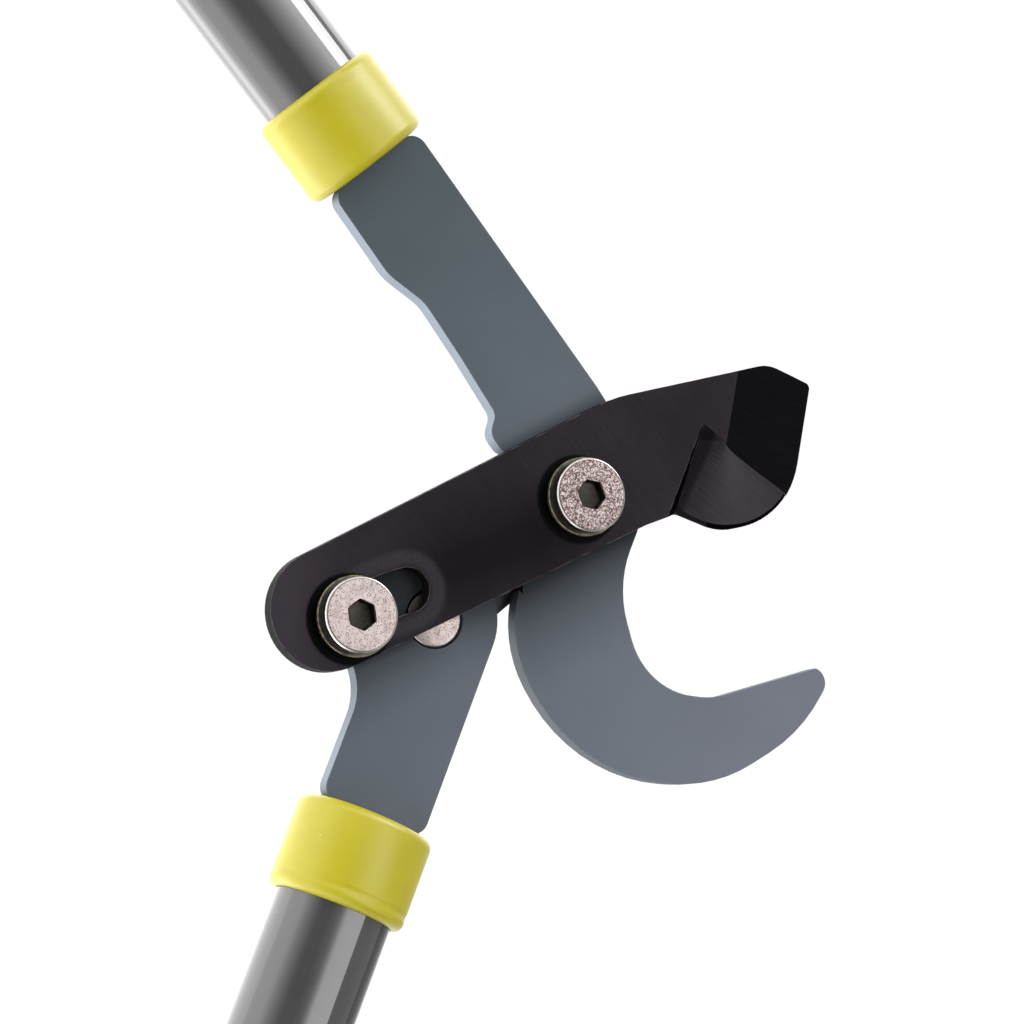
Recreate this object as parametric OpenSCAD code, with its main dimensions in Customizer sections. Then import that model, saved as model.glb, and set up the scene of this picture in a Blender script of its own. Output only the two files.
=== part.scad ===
// Geared bypass lopper, open, lying on its back
//
// The origin is on the main pivot's axis, at the back face of its nut. +Z points to the front of the
// blade, +X to the mouth, and the two handles open evenly to +Y and -Y. All lengths are millimetres.
// The upper handle and the hook are one plate. The lower handle turns on the rear link, its gear
// sector meshes with the one on the hook plate, and its drive pin pushes the blade's slotted tail.

/* [Gears] */
// Module of the gear teeth
gear_module = 2.5; // [2.46:0.01:2.54]
// Teeth that a full wheel of this size would have
gear_teeth = 19; // [19:1:19]
// Pressure angle of the teeth
pressure_angle = 20; // [19:0.5:22]
// Play between two meshing teeth, along the pitch circle
backlash = 0.35; // [0.25:0.05:0.5]
// Turn of each gear from wide open to closed
gear_travel = 52; // [44:1:52]

/* [Pivots] */
// Direction from the main pivot to the lower handle's pivot
link_angle = 210; // [209:0.5:211]
// Distance of the drive pin from the lower handle's pivot
drive_throw = 21.7; // [21.2:0.1:22.2]
// Direction from the lower handle's pivot to the drive pin
drive_angle = 172.6; // [171:0.2:174]
// Half width of the rear link
link_half_w = 10; // [9.4:0.1:10.6]
// Radius of the lower arm's hub, to the right of its pivot
hub_r = 16.2; // [15.4:0.1:16.8]
// Radius of the lower arm's boss round the drive pin
drive_boss_r = 7.4; // [6.6:0.1:7.6]

/* [Layers] */
// Thickness of the hook plate and of the lower arm
plate_t = 4.5; // [4:0.1:5]
// Thickness of the blade
blade_t = 4.3; // [3.8:0.1:4.6]
// Thickness of the rear link
link_t = 3.8; // [3.4:0.1:4.4]
// Gap between two plates that turn on each other
layer_gap = 0.2; // [0.15:0.05:0.3]
// Gap between the blade and the washers in front of it
washer_gap = 0.1; // [0.1:0.05:0.2]
// Clearance of a shaft that turns in a bore
running_fit = 0.05; // [0.02:0.01:0.09]
// Clearance of a shaft that is held in a bore
seat_fit = 0.02; // [0.01:0.01:0.05]

/* [Hook and blade] */
// Reach of the hook, from the main pivot to its tip
hook_reach = 80; // [78:0.5:84]
// Reach of the blade, from the main pivot to its nose
blade_reach = 72; // [71:0.5:74]
// Radius of the blade's tail
tail_r = 14.2; // [13.6:0.1:14.8]
// Distance from the main pivot to the middle of the blade's tail
tail_reach = 71.2; // [70:0.2:73]
// Direction from the main pivot to the middle of the blade's tail
tail_angle = 195.2; // [194.6:0.2:196]
// Fall of the hollow ground face for each millimetre towards the belly
hollow_slope = 0.173; // [0.14:0.001:0.175]
// Fall of the nose's flat ground face for each millimetre
facet_slope = 0.18; // [0.16:0.001:0.187]
// Slope of the wall where the hollow starts
hollow_wall = 50; // [34:1:60]
// Slope of the ramp between the end of that wall and the flat ground face
hollow_ramp = 18; // [14:1:30]
// Width of the steep land along the cutting edge
edge_land = 1.3; // [0.8:0.1:1.6]
// Thickness left at the cutting edge
edge_t = 0.15; // [0.1:0.05:0.3]

/* [Bolts] */
// Radius of the main and drive bolts' heads
head_r = 9; // [8.4:0.1:9.4]
// Height of the two heads
head_h = 3.8; // [3.4:0.1:4.4]
// Chamfer round the heads
head_chamfer = 0.5; // [0.3:0.1:0.8]
// Width across the flats of the hex sockets
socket_af = 6.3; // [5:0.1:7]
// Depth of the hex sockets
socket_depth = 2.4; // [1.8:0.1:2.8]
// Radius of the main bolt's shank
main_shank_r = 5; // [4.5:0.1:5]
// Outer radius of the main bolt's bush
main_bush_r = 6; // [5.8:0.1:6.4]
// Radius of the drive bolt's and the link bolt's shanks
small_shank_r = 4; // [3.6:0.1:4]
// Outer radius of the drive bolt's bush
drive_bush_r = 5; // [4.8:0.05:5.1]
// Clearance of that bush in the blade's slot, on each side
slot_clearance = 0.35; // [0.3:0.05:0.5]
// Radius of the front washers
head_washer_r = 9.6; // [9.4:0.1:10]
// Radius of the main bolt's rear washer
back_washer_r = 9.4; // [9.2:0.1:9.8]
// Radius of the drive and link bolts' rear washers
small_washer_r = 8; // [7.6:0.1:8.2]
// Thickness of the washers
washer_t = 1.2; // [1:0.1:1.5]
// Width across the flats of the main nut
main_nut_af = 16; // [15:0.5:17]
// Height of the main nut
main_nut_h = 6.35; // [5.6:0.05:7]
// Width across the flats of the two smaller nuts
small_nut_af = 13; // [12:0.5:14]
// Height of the two smaller nuts
small_nut_h = 4.4; // [4:0.1:4.8]
// Radius of the link bolt's flat head
disc_r = 6.9; // [6.4:0.1:7]
// Thickness of the link bolt's flat head
disc_h = 2.4; // [2:0.1:2.8]
// Gap round that head in the lower arm's recess
disc_gap = 0.4; // [0.3:0.1:0.6]

/* [Handles] */
// Angle between the two handles when the lopper is wide open
spread = 118; // [116:0.5:120]
// Distance of the upper handle's axis from the main pivot
upper_offset = 10.9; // [10:0.1:12]
// Distance of the lower handle's axis from its pivot
lower_offset = 2.5; // [2:0.1:3]
// Distance along the upper handle from the main pivot to the collar
upper_start = 94; // [92:0.5:100]
// Distance along the lower handle from its pivot to the collar
lower_start = 49.5; // [48:0.5:54]
// Length of each handle, from the collar's near end to the end cap
handle_len = 597; // [500:1:700]
// Half width of the arms at the collars
arm_half_w = 13.8; // [13:0.1:14.2]
// Radius of the arms' shoulders at the collars
shoulder_r = 4; // [2:0.5:4.5]
// Width of the tangs that go into the tubes
tang_w = 17; // [14:0.5:20]
// Length of the tangs past the arms' shoulders
tang_len = 54; // [40:1:58]
// Width of the oval tubes
tube_w = 28.5; // [27:0.1:29]
// Thickness of the oval tubes
tube_h = 22.3; // [21:0.1:23]
// Wall of the tubes
tube_wall = 1.5; // [1.2:0.1:2]
// Length of the plug inside each tube
plug_len = 58; // [57:1:70]
// Radius of the cross pin under each collar
pin_r = 2.5; // [2:0.1:3]
// Width of the collars
collar_w = 33.6; // [33:0.1:35]
// Thickness of the collars
collar_h = 26.6; // [26:0.1:27.6]
// Length of the collars
collar_len = 22.5; // [20:0.5:26]
// Thickness of the collars' end wall
collar_wall = 3; // [2:0.5:4]
// Radius of the collars' rounded rims
collar_rim = 2.4; // [1:0.1:2.6]
// Width of the grips at their ends
grip_w = 36; // [35:0.5:40]
// Thickness of the grips at their ends, where they rest level with the main nut
grip_h = 28; // [27:0.1:28]
// Length of the grips
grip_len = 176; // [140:2:200]
// Depth of the grips' waist
grip_waist = 1.6; // [0.5:0.1:1.8]
// Number of ring grooves in each grip
groove_count = 9; // [3:1:12]
// Depth of those grooves
groove_depth = 0.8; // [0.4:0.1:1]
// Thickness of the end caps' flange
cap_t = 6; // [5:0.5:9]
// Depth of the end caps' stub inside the tube
cap_stub = 14; // [8:1:20]

/* [Hidden] */
$fn = 64;

// Extra length of a cutting tool past the face that it opens
over = 1;
// Largest step, in degrees, between two points of a rounded corner
arc_step = 6;
// Corners of an oval section
oval_n = 36;

// Colours
slate = [0.36, 0.40, 0.43];
black_steel = [0.13, 0.12, 0.14];
zinc = [0.74, 0.69, 0.68];
lime = [0.87, 0.83, 0.20];
tube_grey = [0.42, 0.42, 0.43];
soft_black = [0.10, 0.10, 0.11];

// Heights of the layers, from the ground up
link_z = main_nut_h + washer_t + layer_gap;
arm_z = link_z + link_t + layer_gap;
blade_z = arm_z + plate_t + layer_gap;
blade_top = blade_z + blade_t;
washer_z = blade_top + washer_gap;
head_z = washer_z + washer_t;
handle_z = arm_z + plate_t / 2;
// The main bolt ends level with its nut
bolt_end = 0;

function polar(r, a) = [r * cos(a), r * sin(a)];
function unit(v) = v / norm(v);
function direction(p) = (atan2(p[1], p[0]) + 360) % 360;
function turned(p, a) = [p[0] * cos(a) - p[1] * sin(a), p[0] * sin(a) + p[1] * cos(a)];

// Points of an arc about a centre, from angle a0 to angle a1
function arc(centre, r, a0, a1) =
    let (n = max(1, ceil(abs(a1 - a0) / arc_step)))
    [for (i = [0:n]) centre + polar(r, a0 + (a1 - a0) * i / n)];

// An outline from corners [x, y, r], each rounded with its own radius; a corner with no r stays sharp
function round_corner(a, p, b) =
    let (r = p[2] == undef ? 0 : p[2],
        at = [p[0], p[1]],
        u = unit([a[0], a[1]] - at),
        v = unit([b[0], b[1]] - at),
        half = acos(u * v) / 2,
        centre = at + unit(u + v) * r / sin(half),
        from = at + u * r / tan(half) - centre,
        sweep = (cross(u, v) < 0 ? 1 : -1) * (180 - 2 * half),
        n = max(1, ceil(abs(sweep) / arc_step)))
    r == 0 ? [at] : [for (i = [0:n]) centre + turned(from, sweep * i / n)];

function outline(c) =
    let (n = len(c))
    [for (i = [0:n - 1]) each round_corner(c[(i + n - 1) % n], c[i], c[(i + 1) % n])];

// Scales the places and radii of a list of corners
function sized(corners, k) = [for (c = corners) [c[0] * k, c[1] * k, c[2] * k]];

// Direction of the tangent point on a circle, for the tangent that comes from the point p
function tangent_at(centre, r, p, side) =
    direction(p - centre) + side * acos(r / norm(p - centre));

module plate(points, z, t) {
    translate([0, 0, z]) linear_extrude(t) polygon(points);
}

// A bore along Z through a plate that spans z to z + t
module bore(at, r, z, t) {
    translate([at[0], at[1], z - over]) cylinder(r = r, h = t + 2 * over);
}

// Gears: involute teeth on two sectors of the same size

pitch_r = gear_module * gear_teeth / 2;
tip_r = pitch_r + gear_module;
root_r = pitch_r - 1.25 * gear_module;
base_r = pitch_r * cos(pressure_angle);
tooth_pitch = 360 / gear_teeth;
// Turn of the hook plate's first tooth past the line between the pivots
gear_phase = 1.2;

// The involute angle at a radius, in degrees
function involute(r) =
    let (a = acos(min(1, base_r / r))) tan(a) * 180 / PI - a;

// Half the angle of a tooth space at a radius
function half_space(r) =
    let (half_tooth = 90 / gear_teeth - backlash / 4 / pitch_r * 180 / PI
        + involute(pitch_r) - involute(max(r, base_r)))
    tooth_pitch / 2 - half_tooth;

// The tooth space centred on direction a, as far out as past the tips
function tooth_space(centre, a) =
    let (steps = 5,
        radii = concat([root_r], [for (i = [0:steps]) base_r + (tip_r - base_r) * i / steps],
            [tip_r + over]),
        n = len(radii))
    concat([for (i = [0:n - 1]) centre + polar(radii[i], a - half_space(radii[i]))],
        [for (i = [n - 1:-1:0]) centre + polar(radii[i], a + half_space(radii[i]))]);

// Places of the pivots, of the drive pin and of the handles' axes

main_pivot = [0, 0];
link_pivot = polar(2 * pitch_r, link_angle);
drive_pin = link_pivot + polar(drive_throw, drive_angle);

upper_dir = 180 - spread / 2;
lower_dir = 180 + spread / 2;
upper_foot = polar(upper_offset, upper_dir - 90);
lower_foot = link_pivot + polar(lower_offset, lower_dir + 90);
// A point so far along a handle, and so far to the left of its axis
function on_upper(l, w) = upper_foot + polar(l, upper_dir) + polar(w, upper_dir + 90);
function on_lower(l, w) = lower_foot + polar(l, lower_dir) + polar(w, lower_dir + 90);

// The hook plate: hook, gear sector and upper arm in one

// Hook corners from the blade's crossing round the tip to the gear, for a reach of 80
hook_corners = [[17.9, -5.4, 17.8], [7.5, -22, 27.3], [10.7, -48.2, 18.5], [28.4, -52.7, 18.9],
    [58.3, -49.3, 0.9], [61.9, -52.2, 3.8], [51.7, -64.3, 41.4], [25.4, -74.2, 39.2],
    [-11.4, -65.9, 43.3], [-23.6, -30.8, 30.7]];
hook_gear_end = 226.5;
arm_gear_end = 136.8;
// The last tooth is cut back, so that the blade hides it
last_tooth_top = arm_gear_end + 20.7;
last_tooth_cut = 3;
// The arm's foot beside the gear, with a round corner
foot_start = [-17, 13.3];
foot_corner = [-19.7, 18.2];

hook_outline = outline(concat(
    sized(hook_corners, hook_reach / 80),
    arc(main_pivot, tip_r, hook_gear_end, last_tooth_top),
    [polar(tip_r - last_tooth_cut, last_tooth_top - 7.5), foot_start, concat(foot_corner, 4)],
    [concat(polar(tip_r + 2.4, arm_gear_end - 9.4), 3)],
    [concat(on_upper(44.8, 12.4), 10), concat(on_upper(60.1, 11.3), 12)],
    [concat(on_upper(70.8, 14.4), 12), concat(on_upper(upper_start, arm_half_w - 0.4), shoulder_r)],
    [on_upper(upper_start, tang_w / 2), on_upper(upper_start + tang_len, tang_w / 2)],
    [on_upper(upper_start + tang_len, -tang_w / 2), on_upper(upper_start, -tang_w / 2)],
    [concat(on_upper(upper_start, -arm_half_w - 0.5), shoulder_r), on_upper(17.6, -11.9)],
    [[17, 13.2, 12]]));

module hook_arm() {
    color(slate) difference() {
        plate(hook_outline, arm_z, plate_t);
        for (i = [0:4])
            plate(tooth_space(main_pivot, link_angle + gear_phase + (0.5 - i) * tooth_pitch),
                arm_z - over, plate_t + 2 * over);
        bore(main_pivot, main_bush_r + seat_fit, arm_z, plate_t);
        bore(on_upper(upper_start + pin_place, 0), pin_r + seat_fit, arm_z, plate_t);
    }
}

// The lower arm: hub, gear sector, boss for the drive pin, and arm in one

hub_angle = lower_dir + 90 - 360;
mesh_angle = link_angle - 180 - gear_phase;
lower_first_space = mesh_angle - tooth_pitch;
lower_last_space = mesh_angle + 4 * tooth_pitch;

lower_outline = outline(concat(
    arc(link_pivot, hub_r, hub_angle, lower_first_space),
    arc(link_pivot, tip_r, lower_first_space, lower_last_space),
    [link_pivot + polar(root_r, lower_last_space)],
    arc(drive_pin, drive_boss_r, 80, 215),
    [concat(on_lower(17.2, -18.2), 4), concat(on_lower(23.4, -13.1), 15)],
    [concat(on_lower(lower_start, -arm_half_w + 0.7), shoulder_r)],
    [on_lower(lower_start, -tang_w / 2), on_lower(lower_start + tang_len, -tang_w / 2)],
    [on_lower(lower_start + tang_len, tang_w / 2), on_lower(lower_start, tang_w / 2)],
    [concat(on_lower(lower_start, hub_r - lower_offset), shoulder_r)]));

module lower_arm() {
    color(slate) difference() {
        plate(lower_outline, arm_z, plate_t);
        for (i = [0:5])
            plate(tooth_space(link_pivot, lower_first_space + i * tooth_pitch),
                arm_z - over, plate_t + 2 * over);
        bore(link_pivot, small_shank_r + running_fit, arm_z, plate_t);
        translate([link_pivot[0], link_pivot[1], arm_z + plate_t - disc_h - 2 * layer_gap])
            cylinder(r = disc_r + disc_gap, h = disc_h + 2 * layer_gap + over);
        bore(drive_pin, small_shank_r + seat_fit, arm_z, plate_t);
        bore(on_lower(lower_start + pin_place, 0), pin_r + seat_fit, arm_z, plate_t);
    }
}

// The rear link, which holds the two gears at their distance

module rear_link() {
    color(black_steel) difference() {
        plate(concat(arc(main_pivot, link_half_w, link_angle + 90, link_angle + 270),
            arc(link_pivot, link_half_w, link_angle - 90, link_angle + 90)), link_z, link_t);
        bore(main_pivot, main_bush_r + running_fit, link_z, link_t);
        bore(link_pivot, small_shank_r + seat_fit, link_z, link_t);
    }
}

// The blade, with its slotted tail and its ground nose

// Where the drive pin is, seen from the link, when the gears have turned by the share t of their travel
function pin_at(t) = link_pivot + polar(drive_throw, drive_angle - t * gear_travel);
// Turn of the blade against the link over the whole travel, and for each degree of it
blade_turn = direction(pin_at(0)) - direction(pin_at(1));
blade_ratio = blade_turn / gear_travel;
// The same pin seen from the blade: the middle line of the slot
function slot_at(t) = turned(pin_at(t), t * blade_turn);
slot_r = drive_bush_r + slot_clearance;
slot_steps = 10;
slot_extra = 0.07;
slot_path = [for (i = [0:slot_steps]) slot_at(-slot_extra + (1 + 2 * slot_extra) * i / slot_steps)];

// One side of a path, at a distance to its left or, if negative, to its right
function side_of(path, d) =
    let (n = len(path))
    [for (i = [0:n - 1])
        path[i] + d * turned(unit(path[min(i + 1, n - 1)] - path[max(i - 1, 0)]), 90)];

module slot_cut() {
    first = direction(slot_path[0] - slot_path[1]);
    last = direction(slot_path[slot_steps] - slot_path[slot_steps - 1]);
    plate(concat(side_of(slot_path, slot_r),
        arc(slot_path[slot_steps], slot_r, last + 81, last - 81),
        [for (i = [slot_steps:-1:0]) side_of(slot_path, -slot_r)[i]],
        arc(slot_path[0], slot_r, first + 81, first - 81)),
        blade_z - over, blade_t + 2 * over);
}

// Nose corners from the top edge round the belly to the lower edge, for a reach of 72
nose_corners = [[11.9, 23.1, 40.5], [45.4, 26.2, 30], [56.9, 27.4, 11.2], [69.3, 21.3, 1.5],
    [62.3, 2.4, 39], [57.3, -11.1, 21.5], [36.8, -12.4, 15.2], [25.7, -6.6, 3.2], [15.5, -8.7, 5]];
nose_scale = blade_reach / 72;
nose = sized(nose_corners, nose_scale);
nose_start = [nose[0][0], nose[0][1]];
nose_end = [nose[8][0], nose[8][1]];
tail = polar(tail_reach, tail_angle);
blade_outline = outline(concat(
    arc(tail, tail_r, tangent_at(tail, tail_r, nose_end, -1), tangent_at(tail, tail_r, nose_start, 1) - 360),
    nose));

// The ground faces run down from this point, and the belly is an arc about the other one
grind_apex = [41, 9] * nose_scale;
belly_centre = [41.5, 10] * nose_scale;
belly_r = 22.1 * nose_scale;
// The flat ground face starts along this direction and falls at right angles to it
facet_dir = 69.5;
// The hollow starts along a line through these two points
hollow_top = [35.4, 14.5] * nose_scale;
hollow_low = [22.6, -6] * nose_scale;
ramp_dir = direction(grind_apex - hollow_top);
grind_far = 45;
// Largest step between two faces of the hollow
fan_step = 5;

// Everything above a plane that falls from the line through p along direction a, to its right
module above_slope(p, a, slope) {
    translate([p[0], p[1], blade_top]) rotate([0, 0, a]) rotate([slope, 0, 0])
        translate([-grind_far, -2 * grind_far, 0]) cube([3 * grind_far, 2 * grind_far + 4, grind_far]);
}

// Everything above a fan of flat faces that fall from the apex, between two directions
module above_fan(p, a0, a1, slope) {
    steps = ceil((a1 - a0) / fan_step);
    lift = 0.1;
    far = [for (i = [0:steps]) p + polar(grind_far, a0 + (a1 - a0) * i / steps)];
    low = blade_top + lift - slope * grind_far;
    high = blade_top + grind_far / 5;
    n = steps + 1;
    points = concat([concat(p, blade_top + lift)], [for (q = far) concat(q, low)],
        [concat(p, high)], [for (q = far) concat(q, high)]);
    polyhedron(points, concat([for (i = [1:n - 1]) [0, i, i + 1]],
        [for (i = [1:n - 1]) each [[i, n + 1 + i, n + 2 + i], [i, n + 2 + i, i + 1]]],
        [[0, n + 1, n + 2], [0, n + 2, 1], [0, n, 2 * n + 1], [0, 2 * n + 1, n + 1]],
        [for (i = [1:n - 1]) [n + 1, n + 2 + i, n + 1 + i]]));
}

module grind_cut() {
    // The flat face of the nose
    above_slope(grind_apex, facet_dir, atan(facet_slope));
    // The hollow beside it, behind a steep wall and, as far as the apex, a gentle ramp
    intersection() {
        above_fan(grind_apex, facet_dir - 320, facet_dir - 90, hollow_slope);
        above_slope(hollow_top, direction(hollow_top - hollow_low), hollow_wall);
        union() {
            above_slope(hollow_top, ramp_dir, hollow_ramp);
            translate(concat(grind_apex, 0)) rotate([0, 0, ramp_dir]) translate([0, -grind_far, 0])
                cube([grind_far, 2 * grind_far, grind_far]);
        }
    }
    // The steep land along the belly
    intersection() {
        translate([belly_centre[0], belly_centre[1], blade_z]) rotate_extrude()
            polygon([[belly_r - edge_land, 1.1], [belly_r + 0.3, edge_t],
                [belly_r + 4, edge_t], [belly_r + 4, 2 * blade_t], [belly_r - edge_land, 2 * blade_t]]);
        translate([belly_centre[0], belly_centre[1], blade_z - over]) rotate([0, 0, -135])
            cube([2 * grind_far, 2 * grind_far, 3 * blade_t]);
    }
}

module cutting_blade() {
    color(black_steel) difference() {
        plate(blade_outline, blade_z, blade_t);
        bore(main_pivot, main_bush_r + running_fit, blade_z, blade_t);
        slot_cut();
        grind_cut();
    }
}

// Bolts, bushes, washers and nuts

// A flat round head with a hex socket, on a shank that ends at height end
module socket_bolt(at, shank_r, end, socket_turn) {
    socket_r = socket_af / 2 / cos(30);
    translate([at[0], at[1], 0]) difference() {
        rotate_extrude() polygon([[0, end], [shank_r - 0.5, end], [shank_r, end + 0.5],
            [shank_r, head_z], [head_r, head_z], [head_r, head_z + head_h - head_chamfer],
            [head_r - head_chamfer, head_z + head_h], [0, head_z + head_h]]);
        translate([0, 0, head_z + head_h - socket_depth]) rotate([0, 0, socket_turn])
            cylinder(r = socket_r, h = socket_depth + over, $fn = 6);
        // The cone that the socket's drill leaves
        translate([0, 0, head_z + head_h - socket_depth - 0.8])
            rotate_extrude() polygon([[0, 0], [socket_af / 2 - 0.2, 0.8 + over / 2], [0, 0.8 + over / 2]]);
    }
}

module ring(at, outer, inner, z, h) {
    translate([at[0], at[1], z]) difference() {
        cylinder(r = outer, h = h);
        translate([0, 0, -over]) cylinder(r = inner, h = h + 2 * over);
    }
}

// A hex nut whose corners are turned to a cone
module hex_nut(at, af, bore_r, z, h, turn) {
    corner_r = af / 2 / cos(30);
    face_r = af / 2 - 0.2;
    cone_r = corner_r + over;
    cone_slope = 0.5;
    translate([at[0], at[1], z]) difference() {
        intersection() {
            rotate([0, 0, turn]) cylinder(r = corner_r, h = h, $fn = 6);
            rotate_extrude() polygon([[0, 0], [face_r, 0], [cone_r, (cone_r - face_r) * cone_slope],
                [cone_r, h + over], [0, h + over]]);
        }
        translate([0, 0, -over]) cylinder(r = bore_r, h = h + 2 * over);
    }
}

module main_bolt() {
    color(zinc) socket_bolt(main_pivot, main_shank_r, bolt_end, -20);
}

module main_bush() {
    color(zinc) ring(main_pivot, main_bush_r, main_shank_r + seat_fit,
        main_nut_h + washer_t, washer_z - main_nut_h - washer_t);
}

module main_front_washer() {
    color(black_steel) ring(main_pivot, head_washer_r, main_shank_r + seat_fit, washer_z, washer_t);
}

module main_back_washer() {
    color(zinc) ring(main_pivot, back_washer_r, main_shank_r + seat_fit, main_nut_h, washer_t);
}

module main_nut() {
    color(zinc) hex_nut(main_pivot, main_nut_af, main_shank_r + seat_fit, 0, main_nut_h, 0);
}

module drive_bolt() {
    color(zinc) socket_bolt(drive_pin, small_shank_r, arm_z - washer_t - small_nut_h - over, 0);
}

module drive_bush() {
    color(zinc) ring(drive_pin, drive_bush_r, small_shank_r + seat_fit,
        arm_z + plate_t, washer_z - arm_z - plate_t);
}

module drive_front_washer() {
    color(black_steel) ring(drive_pin, head_washer_r, small_shank_r + seat_fit, washer_z, washer_t);
}

module drive_back_washer() {
    color(zinc) ring(drive_pin, small_washer_r, small_shank_r + seat_fit, arm_z - washer_t, washer_t);
}

module drive_nut() {
    color(zinc) hex_nut(drive_pin, small_nut_af, small_shank_r + seat_fit,
        arm_z - washer_t - small_nut_h, small_nut_h, 10);
}

// The link bolt's flat head turns in the lower arm's recess, under the blade
module link_bolt() {
    end = link_z - washer_t - small_nut_h - over;
    disc_top = arm_z + plate_t - layer_gap;
    color(zinc) translate([link_pivot[0], link_pivot[1], 0]) rotate_extrude()
        polygon([[0, end], [small_shank_r - 0.5, end], [small_shank_r, end + 0.5],
            [small_shank_r, disc_top - disc_h], [disc_r, disc_top - disc_h],
            [disc_r, disc_top - 0.4], [disc_r - 0.4, disc_top], [0, disc_top]]);
}

module link_back_washer() {
    color(zinc) ring(link_pivot, small_washer_r, small_shank_r + seat_fit, link_z - washer_t, washer_t);
}

module link_nut() {
    color(zinc) hex_nut(link_pivot, small_nut_af, small_shank_r + seat_fit,
        link_z - washer_t - small_nut_h, small_nut_h, 20);
}

// Handles: each piece is drawn along +Z, with its width along Y, and then laid along its handle

// The cross pin stands in the middle of the collar
pin_place = collar_wall + (collar_len - collar_wall) / 2;

module on_upper_handle() {
    translate([upper_foot[0], upper_foot[1], handle_z]) rotate([0, 0, upper_dir])
        rotate([0, 90, 0]) translate([0, 0, upper_start]) children();
}

module on_lower_handle() {
    translate([lower_foot[0], lower_foot[1], handle_z]) rotate([0, 0, lower_dir])
        rotate([0, 90, 0]) translate([0, 0, lower_start]) children();
}

function oval(h, w) =
    [for (i = [0:oval_n - 1]) [h / 2 * cos(i * 360 / oval_n), w / 2 * sin(i * 360 / oval_n)]];

module oval_bar(h, w, z0, z1) {
    translate([0, 0, z0]) linear_extrude(z1 - z0) polygon(oval(h, w));
}

// A solid through oval sections [z, h, w]
module oval_loft(sections) {
    n = len(sections);
    points = [for (s = sections) each [for (p = oval(s[1], s[2])) [p[0], p[1], s[0]]]];
    sides = [for (k = [0:n - 2], i = [0:oval_n - 1])
        let (a = k * oval_n + i, b = k * oval_n + (i + 1) % oval_n)
        each [[a, b + oval_n, b], [a, a + oval_n, b + oval_n]]];
    polyhedron(points, concat([[for (i = [0:oval_n - 1]) i]],
        sides, [[for (i = [oval_n - 1:-1:0]) (n - 1) * oval_n + i]]));
}

// Sections of a rounded rim: r is its radius, side is 1 at the far end and -1 at the near end
function rim(z, h, w, r, side) =
    let (steps = 4)
    [for (i = [0:steps])
        let (a = (side > 0 ? i : steps - i) * 90 / steps, inset = 2 * r * (1 - cos(a)))
        [z - side * r * (1 - sin(a)), h - inset, w - inset]];

module plug() {
    color(soft_black) difference() {
        oval_bar(tube_h - 2 * tube_wall - 2 * seat_fit, tube_w - 2 * tube_wall - 2 * seat_fit,
            collar_wall, collar_wall + plug_len);
        translate([-plate_t / 2 - seat_fit, -tang_w / 2 - seat_fit, 0])
            cube([plate_t + 2 * seat_fit, tang_w + 2 * seat_fit, tang_len + seat_fit]);
        cross_bore(tube_h);
    }
}

module cross_bore(reach) {
    translate([-reach, 0, pin_place]) rotate([0, 90, 0])
        cylinder(r = pin_r + seat_fit, h = 2 * reach);
}

module cross_pin() {
    // The pin's flat ends stay just below the tube's round face
    inset = 0.25;
    color(zinc) translate([inset - tube_h / 2, 0, pin_place]) rotate([0, 90, 0])
        cylinder(r = pin_r, h = tube_h - 2 * inset);
}

module tube() {
    color(tube_grey) difference() {
        oval_bar(tube_h, tube_w, collar_wall, handle_len - cap_t);
        oval_bar(tube_h - 2 * tube_wall, tube_w - 2 * tube_wall, 0, handle_len);
        cross_bore(tube_h);
    }
}

module collar() {
    color(lime) difference() {
        oval_loft(concat(rim(0, collar_h, collar_w, collar_rim, -1),
            rim(collar_len, collar_h, collar_w, collar_rim, 1)));
        oval_bar(tube_h + 2 * seat_fit, tube_w + 2 * seat_fit, collar_wall, collar_len + over);
        translate([-plate_t / 2 - seat_fit, -tang_w / 2 - seat_fit, -over])
            cube([plate_t + 2 * seat_fit, tang_w + 2 * seat_fit, collar_wall + 2 * over]);
    }
}

grip_rim = 2;
groove_half = 1.4;
groove_first = 40;
function waist(z) = let (u = 2 * z / (grip_len - cap_t) - 1) 2 * grip_waist * max(0, 1 - u * u);
function grip_section(z, cut) = [z, grip_h - waist(z) - 2 * cut, grip_w - waist(z) - 2 * cut];
groove_step = (grip_len - 2 * groove_first) / (groove_count - 1);

module grip() {
    body_len = grip_len - cap_t;
    color(soft_black) translate([0, 0, handle_len - grip_len]) difference() {
        oval_loft(concat(rim(0, grip_h, grip_w, grip_rim, -1),
            [grip_section(groove_first / 3, 0), grip_section(groove_first * 2 / 3, 0)],
            [for (i = [0:groove_count - 1])
                let (z = groove_first + i * groove_step)
                each [grip_section(z - groove_half, 0), grip_section(z, groove_depth),
                    grip_section(z + groove_half, 0)]],
            [grip_section(body_len - groove_first / 2, 0)],
            [[body_len, grip_h, grip_w]]));
        oval_bar(tube_h + 2 * seat_fit, tube_w + 2 * seat_fit, -over, body_len + over);
    }
}

module end_cap() {
    color(lime) translate([0, 0, handle_len - cap_t]) union() {
        oval_loft(concat([[0, grip_h, grip_w]], rim(cap_t, grip_h, grip_w, grip_rim * 2, 1)));
        oval_bar(tube_h - 2 * tube_wall - 2 * seat_fit, tube_w - 2 * tube_wall - 2 * seat_fit,
            -cap_stub, 0.5);
    }
}

module upper_plug() { on_upper_handle() plug(); }
module upper_cross_pin() { on_upper_handle() cross_pin(); }
module upper_tube() { on_upper_handle() tube(); }
module upper_collar() { on_upper_handle() collar(); }
module upper_grip() { on_upper_handle() grip(); }
module upper_end_cap() { on_upper_handle() end_cap(); }
module lower_plug() { on_lower_handle() plug(); }
module lower_cross_pin() { on_lower_handle() cross_pin(); }
module lower_tube() { on_lower_handle() tube(); }
module lower_collar() { on_lower_handle() collar(); }
module lower_grip() { on_lower_handle() grip(); }
module lower_end_cap() { on_lower_handle() end_cap(); }

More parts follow.
